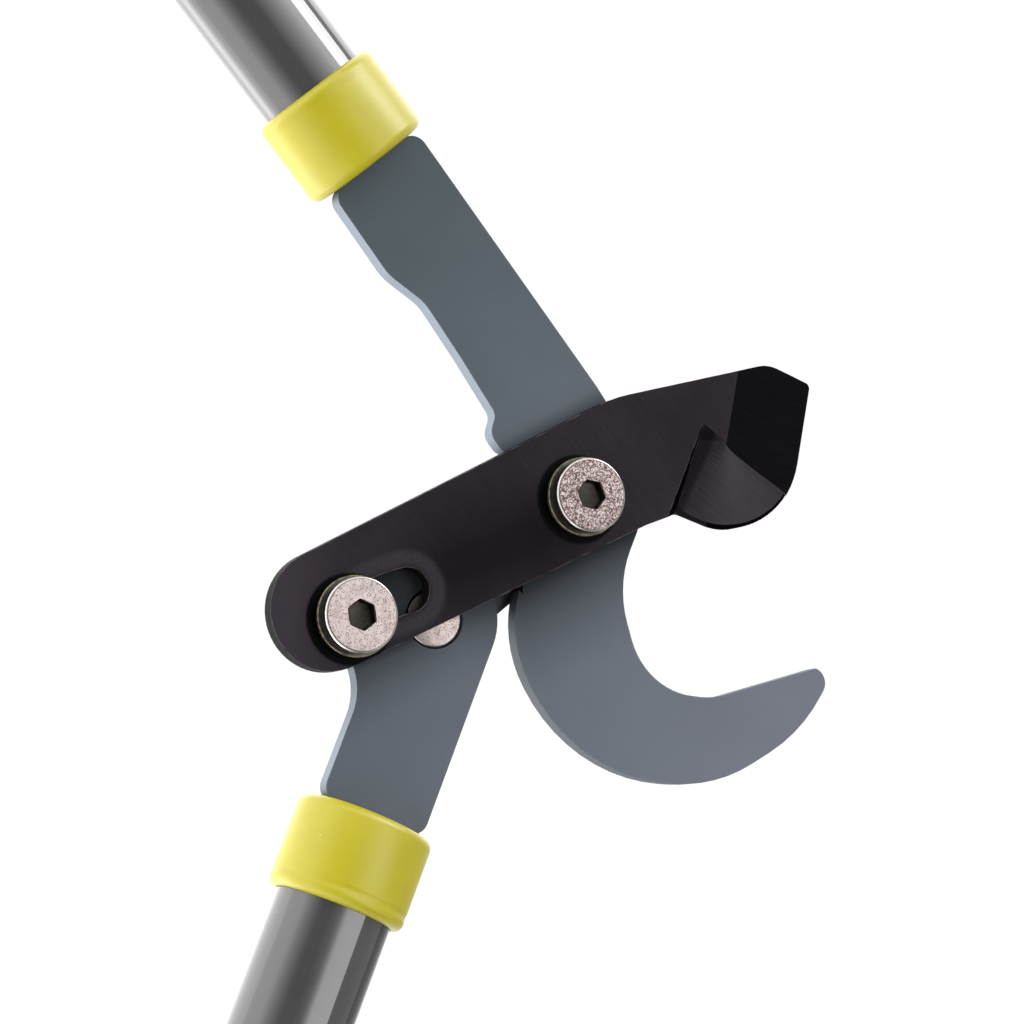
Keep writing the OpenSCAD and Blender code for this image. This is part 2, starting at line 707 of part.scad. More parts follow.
echo(link_pivot = link_pivot, drive_pin = drive_pin, blade_ratio = blade_ratio, arm_z = arm_z);

hook_arm();
upper_plug();
upper_cross_pin();
upper_tube();
upper_collar();
upper_grip();
upper_end_cap();
main_bolt();
main_bush();
main_front_washer();
main_back_washer();
main_nut();
lower_arm();
lower_plug();
lower_cross_pin();
lower_tube();
lower_collar();
lower_grip();
lower_end_cap();
drive_bolt();
drive_bush();
drive_front_washer();
drive_back_washer();
drive_nut();
rear_link();
link_bolt();
link_back_washer();
link_nut();
cutting_blade();
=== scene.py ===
import bmesh
import bpy
import numpy as np
from mathutils import Matrix


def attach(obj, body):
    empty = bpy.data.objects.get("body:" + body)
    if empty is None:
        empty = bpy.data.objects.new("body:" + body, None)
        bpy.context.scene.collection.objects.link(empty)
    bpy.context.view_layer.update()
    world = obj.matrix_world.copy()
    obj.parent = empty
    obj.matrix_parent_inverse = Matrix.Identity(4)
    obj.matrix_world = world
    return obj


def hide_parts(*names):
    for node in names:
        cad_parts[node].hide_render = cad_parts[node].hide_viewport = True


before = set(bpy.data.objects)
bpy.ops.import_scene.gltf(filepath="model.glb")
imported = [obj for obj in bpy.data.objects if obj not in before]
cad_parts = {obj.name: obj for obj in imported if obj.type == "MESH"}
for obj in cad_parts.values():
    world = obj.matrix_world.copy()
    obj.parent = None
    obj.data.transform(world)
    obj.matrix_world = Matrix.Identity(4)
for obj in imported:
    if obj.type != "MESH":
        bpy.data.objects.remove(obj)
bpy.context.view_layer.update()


# The table, the lamps and the camera.
# The lopper lies on its back on a white table, between long soft boxes, and is seen from its
# left side, at the photograph's angle.

scene = bpy.context.scene
scene.view_settings.view_transform = "Standard"
camera = bpy.data.objects.new("camera", bpy.data.cameras.new("camera"))
scene.collection.objects.link(camera)
scene.camera = camera
camera.location = (-0.30422434, -0.04679878, 0.66127033)
camera.rotation_euler = np.radians([7.549, -23.124, -9.6])
camera.data.sensor_width = 36
camera.data.lens = 103.645
camera.data.clip_start = 0.05
camera.data.clip_end = 50


def node(tree, kind, inputs=None, **settings):
    """Adds one shader node; each input is fed from a socket or gets a plain value."""
    made = tree.nodes.new("ShaderNode" + kind)
    for key, value in settings.items():
        setattr(made, key, value)
    for key, value in (inputs or {}).items():
        if isinstance(value, bpy.types.NodeSocket):
            tree.links.new(value, made.inputs[key])
        else:
            made.inputs[key].default_value = value
    return made


def tree_of(owner):
    """The owner's node tree, emptied, and its output node."""
    owner.use_nodes = True
    owner.node_tree.nodes.clear()
    kind = "OutputWorld" if isinstance(owner, bpy.types.World) else "OutputMaterial"
    return owner.node_tree, node(owner.node_tree, kind)


def soft_box(name, place, aim, width, length, strength, roll):
    """A rectangular lamp at a place, turned towards aim; strength is its brightness as seen, and
    roll is the direction of its long side in the plane of the table."""
    lamp = bpy.data.objects.new(name, bpy.data.lights.new(name, "AREA"))
    scene.collection.objects.link(lamp)
    lamp.data.shape = "RECTANGLE"
    lamp.data.size, lamp.data.size_y = width, length
    lamp.data.energy = strength * np.pi * width * length
    place, aim = np.array(place, float), np.array(aim, float)
    back = (place - aim) / np.linalg.norm(place - aim)
    along = np.array([np.cos(roll), np.sin(roll), 0])
    side = np.cross(along, back)
    side /= np.linalg.norm(side)
    along = np.cross(back, side)
    turn = np.column_stack([side, along, back])
    lamp.matrix_world = Matrix.Translation(place) @ Matrix(turn.tolist()).to_4x4()


def steps(tree, value, low, high, to_low=0.0, to_high=1.0):
    """Maps a value from low..high to to_low..to_high, and holds it there outside."""
    made = node(tree, "MapRange", {"Value": value, "From Min": low, "From Max": high,
                                   "To Min": to_low, "To Max": to_high})
    return made.outputs["Result"]


def maths(tree, operation, *values):
    """A Math node's result."""
    return node(tree, "Math", dict(enumerate(values)), operation=operation).outputs[0]


def facing(tree, vector, x, y):
    """How far a vector points along x, y in the plane of the table."""
    return node(tree, "VectorMath", {0: vector, 1: (x, y, 0)},
                operation="DOT_PRODUCT").outputs["Value"]


def part_of(tree, vector, axis):
    """A vector's X, Y or Z."""
    return node(tree, "SeparateXYZ", {0: vector}).outputs[axis]


def lit_room(tree, output, kind, strength):
    """What shines with the given strength on the lopper, but looks plain white to the camera."""
    paper_white = 1.03
    lit, plain = (node(tree, kind, {"Color": (1, 1, 1, 1), "Strength": value}).outputs[0]
                  for value in (strength, paper_white))
    by_camera = node(tree, "LightPath").outputs["Is Camera Ray"]
    seen = node(tree, "MixShader", {0: by_camera, 1: lit, 2: plain})
    tree.links.new(seen.outputs[0], output.inputs["Surface"])


world = bpy.data.worlds.new("studio")
scene.world = world
tree, output = tree_of(world)
towards = node(tree, "TexCoord").outputs["Generated"]
height = part_of(tree, towards, "Z")
# A long white wall on the left, brightest near the table
fall = maths(tree, "MINIMUM", steps(tree, height, 0, 1, 5.3, 1.2),
             steps(tree, height, 0.54, 0.92, 3.1, 0))
wall = maths(tree, "MULTIPLY", steps(tree, facing(tree, towards, -1, 0), -0.05, 0.35), fall)
# A wide box overhead, in the plane one unit above the table; u and w run along its sides
above = node(tree, "VectorMath", {0: towards, "Scale": maths(tree, "DIVIDE", 1.0, height)},
             operation="SCALE").outputs[0]
box_x, box_y = 0.885, 0.466
u, w = facing(tree, above, box_x, box_y), facing(tree, above, -box_y, box_x)
along = maths(tree, "MULTIPLY", steps(tree, u, 0.12, 0.26), steps(tree, u, 0.73, 0.71))
across = maths(tree, "MULTIPLY", steps(tree, w, -1.15, -1.1),
               steps(tree, w, 0.0, -0.25, 0, 4.1))
box = maths(tree, "MULTIPLY", along, across)
# The glow round the bright box on the right, and the dim room behind it
glow = maths(tree, "MULTIPLY", steps(tree, u, 0.04, 1.0, 0.0, 4.4), steps(tree, w, -0.25, 0.0))
overhead = maths(tree, "MULTIPLY", maths(tree, "ADD", box, glow), steps(tree, height, 0.3, 0.5))
dim = steps(tree, facing(tree, towards, 1, 0), 0.2, 0.9, 0.3, 0.8)
level = maths(tree, "ADD", maths(tree, "ADD", wall, dim), overhead)
lit_room(tree, output, "Background", level)

floor_mesh = bpy.data.meshes.new("floor")
half, under = 4.0, -0.0003
corners = ((-half, -half), (half, -half), (half, half), (-half, half))
floor_mesh.from_pydata([(x, y, under) for x, y in corners], [], [(0, 1, 2, 3)])
floor = bpy.data.objects.new("floor", floor_mesh)
scene.collection.objects.link(floor)
paper = bpy.data.materials.new("white_paper")
tree, output = tree_of(paper)
# In the lopper's gloss it mirrors the wall on the left, a thin lamp there, and the bright box on
# the right
incoming = node(tree, "NewGeometry").outputs["Incoming"]
left = steps(tree, facing(tree, incoming, 1, 0), -0.9, 0.8, 0.3, 4.3)
right = steps(tree, facing(tree, incoming, 0, -1), -0.4, 0.45, 0.3, 3.7)
low = facing(tree, incoming, 0.866, 0.5)
streak = maths(tree, "MINIMUM", steps(tree, low, 0.62, 0.857, 0, 5),
               steps(tree, low, 0.857, 0.99, 5, 0))
sheen = maths(tree, "ADD", maths(tree, "MAXIMUM", left, right), streak)
lit_room(tree, output, "Emission", sheen)
floor_mesh.materials.append(paper)

# A bright box low on the right gives the upper tube its sharp streak
soft_box("box_right", place=(1.166, 0.757, 0.62), aim=(0, 0, 0), width=0.65, length=0.8,
         strength=10.0, roll=np.radians(123))


# The slate plates: the hook with its upper arm, and the lower arm.
# Both are stamped from 4.5 mm steel, tumbled so that their edges are round, and painted with a
# satin slate paint, faintly mottled; painted light makes it lighter towards the hook and on the
# cut sides, and painted shade darkens it by the blade.

def effect(name, inputs, outputs):
    """An empty node group; inputs carry their values, and outputs name the kind of socket."""
    group = bpy.data.node_groups.new(name, "ShaderNodeTree")
    for label, value in inputs.items():
        kind = "Float" if np.isscalar(value) else {3: "Vector", 4: "Color"}[len(value)]
        made = group.interface.new_socket(label, in_out="INPUT", socket_type="NodeSocket" + kind)
        made.default_value = value
    for label, kind in outputs.items():
        group.interface.new_socket(label, in_out="OUTPUT", socket_type="NodeSocket" + kind)
    ends = group.nodes.new("NodeGroupInput"), group.nodes.new("NodeGroupOutput")
    return group, ends[0].outputs, ends[1].inputs


def use(tree, group, inputs):
    """Places an effect in a material, and gives its outputs."""
    return node(tree, "Group", inputs, node_tree=group).outputs


def finish_of(name, **plain):
    """A material with one Principled shader whose plain values are set on its own sockets."""
    made = bpy.data.materials.new(name)
    tree, output = tree_of(made)
    shader = node(tree, "BsdfPrincipled")
    for key, value in plain.items():
        shader.inputs[key.replace("_", " ")].default_value = value
    tree.links.new(shader.outputs[0], output.inputs["Surface"])
    return made, tree, shader.inputs


def feed(tree, shader, base, rough, height=None, strength=0.0, distance=0.0001):
    """Feeds a shader's colour and roughness, and its normal from a bump of the height."""
    tree.links.new(base, shader["Base Color"])
    tree.links.new(rough, shader["Roughness"])
    if height is not None:
        bump = node(tree, "Bump", {"Height": height, "Strength": strength, "Distance": distance})
        tree.links.new(bump.outputs[0], shader["Normal"])


def blend_colours(tree, share, first, second):
    """The colour between two others."""
    return node(tree, "Mix", {0: share, 6: first, 7: second}, data_type="RGBA").outputs[2]


def paint_over(tree, base, mask, colour, share):
    """The base colour, with another over it where the mask is 1, by the share."""
    return blend_colours(tree, steps(tree, mask, 0, 1, 0, share), base, colour)


def noisy(tree, noise, low, high):
    """A value from low to high that follows a noise, most of which lies between 0.3 and 0.7."""
    return steps(tree, noise, 0.3, 0.7, low, high)


def here(tree):
    """The place on the piece."""
    return node(tree, "TexCoord").outputs["Object"]


def normal_at(tree):
    """The direction that the surface faces."""
    return node(tree, "NewGeometry").outputs["Normal"]


# Cloudy changes of colour with a fine grain in them; Scale is in clouds per metre
mottle, given, out = effect("mottle", {"Scale": 60.0, "Grain": 2500.0},
                            {"Cloud": "Float", "Grain": "Float"})
place = here(mottle)
cloud = node(mottle, "TexNoise", {"Vector": place, "Scale": given["Scale"], "Detail": 4.0,
                                  "Roughness": 0.6})
grain = node(mottle, "TexNoise", {"Vector": place, "Scale": given["Grain"], "Detail": 2.0})
mottle.links.new(noisy(mottle, cloud.outputs["Fac"], 0, 1), out["Cloud"])
mottle.links.new(grain.outputs["Fac"], out["Grain"])

# A mask of the sharp edges, broken up by noise, where a finish is rubbed thin
edge_wear, given, out = effect("edge_wear", {"Radius": 0.0004, "Breaks": 900.0}, {"Mask": "Float"})
bevelled = node(edge_wear, "Bevel", {"Radius": given["Radius"]}, samples=6).outputs[0]
aligned = node(edge_wear, "VectorMath", {0: bevelled, 1: normal_at(edge_wear)},
               operation="DOT_PRODUCT").outputs["Value"]
breaks = node(edge_wear, "TexNoise", {"Vector": here(edge_wear), "Scale": given["Breaks"],
                                      "Detail": 3.0}).outputs["Fac"]
edge_wear.links.new(maths(edge_wear, "MULTIPLY", steps(edge_wear, aligned, 0.99, 0.9),
                          steps(edge_wear, breaks, 0.35, 0.6)), out["Mask"])

# The distance in the plane of the plates from a line between two points
line_distance, given, out = effect("line_distance", {"Start": (0.0, 0.0, 0.0),
                                                     "End": (0.0, 0.0, 0.0)},
                                   {"Distance": "Float"})
flat = node(line_distance, "VectorMath", {0: here(line_distance), 1: (1, 1, 0)},
            operation="MULTIPLY").outputs[0]
along = node(line_distance, "VectorMath", {0: given["End"], 1: given["Start"]},
             operation="SUBTRACT").outputs[0]
reach = node(line_distance, "VectorMath", {0: flat, 1: given["Start"]},
             operation="SUBTRACT").outputs[0]
dot = node(line_distance, "VectorMath", {0: reach, 1: along}, operation="DOT_PRODUCT")
square = node(line_distance, "VectorMath", {0: along, 1: along}, operation="DOT_PRODUCT")
share = node(line_distance, "Math", {0: dot.outputs["Value"], 1: square.outputs["Value"]},
             operation="DIVIDE", use_clamp=True)
foot = node(line_distance, "VectorMath", {0: along, "Scale": share.outputs[0]}, operation="SCALE")
gap = node(line_distance, "VectorMath", {0: reach, 1: foot.outputs[0]}, operation="DISTANCE")
line_distance.links.new(gap.outputs["Value"], out["Distance"])


def distance_from(tree, start, end=None):
    """How far a place is from a line, or from a point, which is a line of a tenth of a mm."""
    end = end or (start[0] + 0.0001, start[1])
    return use(tree, line_distance, {"Start": (*start, 0), "End": (*end, 0)})["Distance"]


slate, tree, shader = finish_of("slate_paint", Specular_IOR_Level=0.0, Coat_Roughness=0.46)
tone = use(tree, mottle, {"Scale": 55.0, "Grain": 1800.0})
worn = use(tree, edge_wear, {"Radius": 0.0005, "Breaks": 700.0})["Mask"]
deep = blend_colours(tree, tone["Cloud"], (0.0180, 0.0285, 0.0350, 1),
                     (0.0205, 0.0325, 0.0390, 1))
painted_lighter = blend_colours(tree, tone["Cloud"], (0.057, 0.064, 0.081, 1), (0.062, 0.070, 0.088, 1))
# Painted light: the paint is painted lighter towards the hook, as if lit more there
place = here(tree)
hookward = facing(tree, place, 0.688, -0.725)
base = blend_colours(tree, steps(tree, hookward, -0.07, 0.075), deep, painted_lighter)
base = paint_over(tree, base, worn, (0.2, 0.24, 0.28, 1), 0.25)
# Painted light: the cut sides are painted paler, as if lit from the side, except on the hook,
# where they are painted dark as shade
cut_side = steps(tree, part_of(tree, normal_at(tree), "Z"), 0.8, 0.4)
painted_side_light = blend_colours(tree, steps(tree, hookward, -0.005, 0.015), (0.085, 0.103, 0.125, 1),
                     (0.018, 0.024, 0.030, 1))
base = blend_colours(tree, cut_side, base, painted_side_light)
# Painted shade: the plates are painted dark below the blade's lower edge, reaching further beside
# the main bolt, more faintly in a strip along its upper edge, and on the lower arm where the
# blade's slot slides; down runs across the blade, towards its lower edge
lower_edge, narrow_x, wide_x = 0.0134, -0.035, -0.018
down = facing(tree, place, 0.339, -0.941)
east = part_of(tree, place, "X")
reach = steps(tree, east, narrow_x, wide_x, 0.012, 0.025)
shade_below = maths(tree, "DIVIDE", maths(tree, "SUBTRACT", down, lower_edge), reach)
shade_below = maths(tree, "MULTIPLY", maths(tree, "POWER", steps(tree, shade_below, 1, 0), 1.5),
              steps(tree, east, narrow_x, wide_x, 0.38, 0.87))
above = maths(tree, "ADD", steps(tree, down, -0.0218, -0.0178, 0, 0.45),
              steps(tree, down, -0.01, 0, 0, 0.55))
slide = distance_from(tree, (-0.0627, -0.021), (-0.047, -0.017))
painted_shade = maths(tree, "MAXIMUM", maths(tree, "MINIMUM", shade_below, above),
              steps(tree, slide, 0.0145, 0.0095, 0, 0.84))
base = blend_colours(tree, painted_shade, base, (0.010, 0.011, 0.012, 1))
tree.links.new(steps(tree, painted_shade, 0, 1, 0.48, 0.05), shader["Coat Weight"])
feed(tree, shader, base, steps(tree, tone["Cloud"], 0, 1, 0.42, 0.5), tone["Grain"], 0.12)


def plate_copy(name, cad_node, round_r, segments=3, flat_limit=0.5, edge_limit=25.0):
    """A copy of a CAD plate, merged, with flat faces joined and its sharp edges rounded."""
    shape = bmesh.new()
    shape.from_mesh(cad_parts[cad_node].data)
    bmesh.ops.remove_doubles(shape, verts=shape.verts, dist=2e-6)
    bmesh.ops.dissolve_limit(shape, angle_limit=np.radians(flat_limit), verts=shape.verts,
                             edges=shape.edges)
    sharp = [e for e in shape.edges
             if len(e.link_faces) == 2 and e.calc_face_angle(0) > np.radians(edge_limit)]
    bmesh.ops.bevel(shape, geom=sharp, offset=round_r, segments=segments, profile=0.5,
                    affect="EDGES", clamp_overlap=True)
    made = bpy.data.meshes.new(name)
    shape.to_mesh(made)
    shape.free()
    made.polygons.foreach_set("use_smooth", np.ones(len(made.polygons), bool))
    made.set_sharp_from_angle(angle=np.radians(40))
    piece = bpy.data.objects.new(name, made)
    scene.collection.objects.link(piece)
    weighted = piece.modifiers.new("even_normals", "WEIGHTED_NORMAL")
    weighted.keep_sharp = True
    weighted.weight = 100
    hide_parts(cad_node)
    return piece


for cad_node, body in (("hook_arm", "upper"), ("lower_arm", "lower")):
    piece = plate_copy(cad_node + "_plate", cad_node, 0.0005)
    piece.data.materials.append(slate)
    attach(piece, body)


# The blade, ground from 4.3 mm tool steel and blackened: a slotted tail, and a nose with a flat
# ground face, a hollow beside it and a steep land along the cutting edge. The bolt's washer has
# polished a racetrack round the slot. The place of the maker's engraving is left bare.

# Fine parallel scratches; Angle is their direction, Scale the scratches per metre
scratches, given, out = effect("scratches", {"Angle": 0.0, "Scale": 2500.0}, {"Height": "Float"})
turned = node(scratches, "VectorRotate", {"Vector": here(scratches), "Angle": given["Angle"]},
              rotation_type="Z_AXIS", invert=True)
stretched = node(scratches, "VectorMath", {0: turned.outputs[0], 1: (0.02, 1.0, 0.3)},
                 operation="MULTIPLY")
lines = node(scratches, "TexNoise", {"Vector": stretched.outputs[0], "Scale": given["Scale"],
                                     "Detail": 3.0, "Roughness": 0.7})
scratches.links.new(lines.outputs["Fac"], out["Height"])

SLOT_ENDS = (-0.0636, -0.02155), (-0.0487, -0.01655)
SLOT_BEND = (-0.05755, -0.0184)


def slide_marks_and_shade(tree, base, tone, shader):
    """The washer's racetrack on the blade, a darker middle, a paler tail, and painted shade to the
    left of the washers. The racetrack runs at one distance from the slot's middle line, which has
    two straight parts."""
    track, half_wide, fade = 0.0078, 0.0010, 0.0024
    from_middle = maths(tree, "MINIMUM", *(distance_from(tree, end, SLOT_BEND)
                                           for end in SLOT_ENDS))
    off = maths(tree, "ABSOLUTE", maths(tree, "SUBTRACT", from_middle, track))
    band = maths(tree, "MULTIPLY", steps(tree, off, fade, half_wide),
                 steps(tree, tone["Grain"], 0.35, 0.55, 0.5, 1.0))
    # Darker between the slot and the bolt, and bare grey steel on the washer's track
    darker_middle = distance_from(tree, (-0.036, -0.012), (-0.015, -0.008))
    darker_middle = steps(tree, darker_middle, 0.018, 0.003, 0, 0.8)
    base = blend_colours(tree, darker_middle, base, (0.003, 0.0022, 0.003, 1))
    base = paint_over(tree, base, band, (0.026, 0.025, 0.029, 1), 0.5)
    # The tail's end is paler
    tail = steps(tree, part_of(tree, here(tree), "X"), -0.062, -0.078, 0, 0.55)
    base = blend_colours(tree, tail, base, (0.027, 0.022, 0.028, 1))
    # Painted shadow: a black crescent to the left of the two washers, where they shade the blade
    painted_washer_shade = maths(tree, "MINIMUM", distance_from(tree, (-0.0013, -0.0004)),
                   distance_from(tree, (-0.0639, -0.0214)))
    painted_washer_shade = steps(tree, painted_washer_shade, 0.0111, 0.0105)
    tree.links.new(steps(tree, painted_washer_shade, 0, 1, 0.5, 0.0), shader["Metallic"])
    return blend_colours(tree, painted_washer_shade, base, (0.0005, 0.0005, 0.0005, 1))


def wall_shade(tree, base, *_):
    """Painted shade: the hollow is painted darker in a strip next to its wall."""
    off = facing(tree, here(tree), 0.848, -0.530)
    strip = maths(tree, "MULTIPLY", steps(tree, off, 0.0228, 0.0234),
                  steps(tree, off, 0.0274, 0.0262))
    return paint_over(tree, base, strip, (0.002, 0.0015, 0.002, 1), 0.8)


def blade_finish(name, dark, light, angle, roughness, depth, marks=None, **plain):
    """Blackened steel with grinding lines in one direction, and the marks and painted shade that a
    function adds.
    """
    made, tree, shader = finish_of(name, **plain)
    tone = use(tree, mottle, {"Scale": 40.0, "Grain": 3000.0})
    worn = use(tree, edge_wear, {"Radius": 0.00025, "Breaks": 350.0})["Mask"]
    lines = use(tree, scratches, {"Angle": np.radians(angle), "Scale": 2200.0})["Height"]
    share = maths(tree, "MULTIPLY", maths(tree, "MULTIPLY_ADD", tone["Cloud"], 0.6, 0.4), lines)
    base = blend_colours(tree, share, dark, light)
    base = paint_over(tree, base, worn, (0.30, 0.28, 0.27, 1), 0.35)
    if marks:
        base = marks(tree, base, tone, shader)
    rough = noisy(tree, lines, roughness - 0.05, roughness + 0.08)
    feed(tree, shader, base, rough, lines, depth)
    return made


def face_values(mesh, what):
    """The center or the normal of each face, one row each."""
    values = np.zeros(len(mesh.polygons) * 3)
    mesh.polygons.foreach_get(what, values)
    return values.reshape(-1, 3)


blade = plate_copy("cutting_blade_ground", "cutting_blade", 0.0002, 2, flat_limit=0.2,
                   edge_limit=20.0)
for finish in (
        blade_finish("blade_black", (0.0058, 0.0050, 0.0060, 1), (0.0201, 0.0166, 0.0206, 1), -60,
                     0.36, 0.2, slide_marks_and_shade, Specular_IOR_Level=0.02),
        blade_finish("blade_facet", (0.001, 0.001, 0.0015, 1), (0.002, 0.002, 0.003, 1), -20,
                     0.14, 0.02, Metallic=0.1, Specular_IOR_Level=0.05),
        blade_finish("blade_hollow", (0.0055, 0.0045, 0.0060, 1), (0.0280, 0.0240, 0.0285, 1), -43,
                     0.28, 0.3, wall_shade, Metallic=0.6, Specular_IOR_Level=0.12),
        blade_finish("blade_side", (0.004, 0.004, 0.004, 1), (0.008, 0.008, 0.0075, 1), 0,
                     0.5, 0.1, Metallic=0.0, Specular_IOR_Level=0.01),
        blade_finish("blade_land", (0.0008, 0.0008, 0.001, 1), (0.0016, 0.0016, 0.002, 1), 0,
                     0.4, 0.05, Metallic=0.0, Specular_IOR_Level=0.0)):
    blade.data.materials.append(finish)
# The faces by how they lean: on the nose, which starts right of the bolt, the flat ground face
# leans down the facet's direction, the hollow leans another way, and what leans more is the wall
# or, down along the edge, the land; every face that doesn't look up is a side
BLACK, FACET, HOLLOW, SIDE, LAND = range(5)
nose_x, facet_dir, steepest_ground = 0.015, np.radians(-20.5), 0.34
leans = face_values(blade.data, "normal")
on_nose = face_values(blade.data, "center")[:, 0] > nose_x
down = np.array([np.cos(facet_dir), np.sin(facet_dir), 0])
lean = np.linalg.norm(leans[:, :2], axis=1)
looks_up = leans[:, 2] > 0.5
ground = looks_up & (lean > 0.1) & on_nose
facet = ground & (leans @ down > 0.98 * lean)
steep = (lean > steepest_ground) & on_nose | (leans[:, 2] < 0.5)
land = steep & looks_up & (leans @ down > 0)
kinds = np.select([land, steep, facet, ground], [LAND, SIDE, FACET, HOLLOW], BLACK)
blade.data.polygons.foreach_set("material_index", kinds.astype(np.int32))
# The shading breaks where two kinds of face meet
shape = bmesh.new()
shape.from_mesh(blade.data)
for edge in shape.edges:
    if len({face.material_index for face in edge.link_faces}) > 1:
        edge.smooth = False
shape.to_mesh(blade.data)
shape.free()
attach(blade, "blade")


# The rear link.
# A blackened steel strap behind the plates that holds the two gears at their distance.

link = plate_copy("rear_link_strap", "rear_link", 0.0004)
link.data.materials.append(
    blade_finish("link_black", (0.010, 0.009, 0.011, 1), (0.022, 0.020, 0.023, 1), 30, 0.4, 0.25,
                 Metallic=0.4, Specular_IOR_Level=0.3))
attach(link, "link")


# The bolts.
# Turned from steel bar with a flat head, a round rim and a broached hex socket, then zinc plated.
# The plating is pinkish, with dark pits and fine winding marks; painted shade darkens the heads'
# sides and sockets.

def skin(name, grid, closed_rows=False):
    """A piece from a grid of points [row, column, xyz] whose columns close on the first.
    With closed_rows the last row also joins the first. Rows that shrink to a point become
    poles, and the faces are turned outwards."""
    rows, columns = grid.shape[:2]
    index = np.arange(rows * columns).reshape(rows, columns)
    if closed_rows:
        index = np.vstack([index, index[:1]])
    right = np.roll(index, -1, axis=1)
    faces = np.stack([index[:-1], right[:-1], right[1:], index[1:]], axis=-1).reshape(-1, 4)
    shape = bmesh.new()
    draft = bpy.data.meshes.new(name)
    draft.from_pydata(grid.reshape(-1, 3).tolist(), [], faces.tolist())
    shape.from_mesh(draft)
    bmesh.ops.remove_doubles(shape, verts=shape.verts, dist=1e-7)
    bmesh.ops.recalc_face_normals(shape, faces=shape.faces)
    shape.to_mesh(draft)
    shape.free()
    draft.polygons.foreach_set("use_smooth", np.ones(len(draft.polygons), bool))
    draft.set_sharp_from_angle(angle=np.radians(35))
    piece = bpy.data.objects.new(name, draft)
    scene.collection.objects.link(piece)
    return piece


def turned_rows(place, profile, columns=96, turn=0.0):
    """Rows of a turned shape round a vertical axis: the profile gives radius, height and, from 0
    to 1, how far the row is a hexagon instead of a circle. A hexagon's radius is the one across
    its flats: r / cos of the angle from the middle of the nearest flat."""
    profile = np.array([row if len(row) == 3 else (*row, 0) for row in profile], float)
    angle = np.linspace(0, 2 * np.pi, columns, endpoint=False)
    sector = np.pi / 3
    from_flat = (angle - turn + sector / 2) % sector - sector / 2
    hexagon = 1 / np.cos(from_flat)
    spread = 1 + profile[:, 2, None] * (hexagon - 1)
    radius = profile[:, 0, None] * spread
    grid = np.empty((len(profile), columns, 3))
    grid[..., 0] = place[0] + radius * np.cos(angle)
    grid[..., 1] = place[1] + radius * np.sin(angle)
    grid[..., 2] = profile[:, 1, None]
    return grid


# Fine winding lines, where a noise passes its middle value
squiggles, given, out = effect("squiggles", {"Scale": 2000.0, "Width": 0.06}, {"Mask": "Float"})
wave = node(squiggles, "TexNoise", {"Vector": here(squiggles), "Scale": given["Scale"],
                                    "Detail": 1.0, "Distortion": 0.6}).outputs["Fac"]
off = maths(squiggles, "ABSOLUTE", maths(squiggles, "SUBTRACT", wave, 0.5))
squiggles.links.new(steps(squiggles, maths(squiggles, "DIVIDE", off, given["Width"]), 1.0, 0.4),
                    out["Mask"])

# Small far-apart specks such as dust and pits; Share is how much of the surface they take
specks, given, out = effect("specks", {"Scale": 400.0, "Size": 0.12, "Share": 0.3},
                            {"Mask": "Float"})
cells = node(specks, "TexVoronoi", {"Vector": here(specks), "Scale": given["Scale"],
                                    "Randomness": 1.0}).outputs
dot = maths(specks, "LESS_THAN", cells["Distance"], given["Size"])
chosen = node(specks, "SeparateColor", {"Color": cells["Color"]}).outputs[0]
kept = maths(specks, "LESS_THAN", chosen, given["Share"])
specks.links.new(maths(specks, "MULTIPLY", dot, kept), out["Mask"])

zinc, tree, shader = finish_of("speckled_zinc", Metallic=0.85, Specular_IOR_Level=0.5)
tone = use(tree, mottle, {"Scale": 500.0, "Grain": 4000.0})
pits = use(tree, specks, {"Scale": 2300.0, "Size": 0.42, "Share": 0.45})["Mask"]
lines = use(tree, squiggles, {"Scale": 1400.0, "Width": 0.1})["Mask"]
worn = use(tree, edge_wear, {"Radius": 0.0002, "Breaks": 500.0})["Mask"]
upright = part_of(tree, normal_at(tree), "Z")
place = here(tree)
height = part_of(tree, place, "Z")
base = blend_colours(tree, tone["Cloud"], (0.22, 0.183, 0.175, 1), (0.34, 0.292, 0.278, 1))
base = paint_over(tree, base, pits, (0.09, 0.065, 0.065, 1), 0.85)
# The main bolt is more tarnished and marked than the others
hub = steps(tree, distance_from(tree, (0, 0)), 0.012, 0.011)
marks = maths(tree, "MULTIPLY", lines, steps(tree, hub, 0, 1, 0.1, 1.0))
marks = maths(tree, "MULTIPLY", marks, steps(tree, upright, 0.98, 0.995))
base = blend_colours(tree, marks, base, (0.02, 0.014, 0.013, 1))
base = paint_over(tree, base, hub, (0.24, 0.155, 0.145, 1), 0.12)
# The rims are greyer, and rubbed bright at their edges
rim = steps(tree, upright, 0.95, 0.98, 0.85, 0)
base = blend_colours(tree, rim, base, (0.30, 0.285, 0.265, 1))
base = paint_over(tree, base, worn, (0.7, 0.65, 0.6, 1), 0.25)
# Painted shade: the heads' sides, between 22 and 25.3 mm above the table, are painted dark, and
# so is the link bolt's disc, below 16.4 mm, where the blade slides over it
by_slot = steps(tree, facing(tree, place, -0.259, 0.966), -0.0135, -0.0085, 0, 0.97)
painted_shade = maths(tree, "MULTIPLY", by_slot, steps(tree, height, 0.0165, 0.0163))
skirt = maths(tree, "MULTIPLY", steps(tree, height, 0.02535, 0.02525),
              steps(tree, height, 0.0218, 0.0220))
painted_shade = maths(tree, "MAXIMUM", painted_shade, steps(tree, skirt, 0, 1, 0, 0.9))
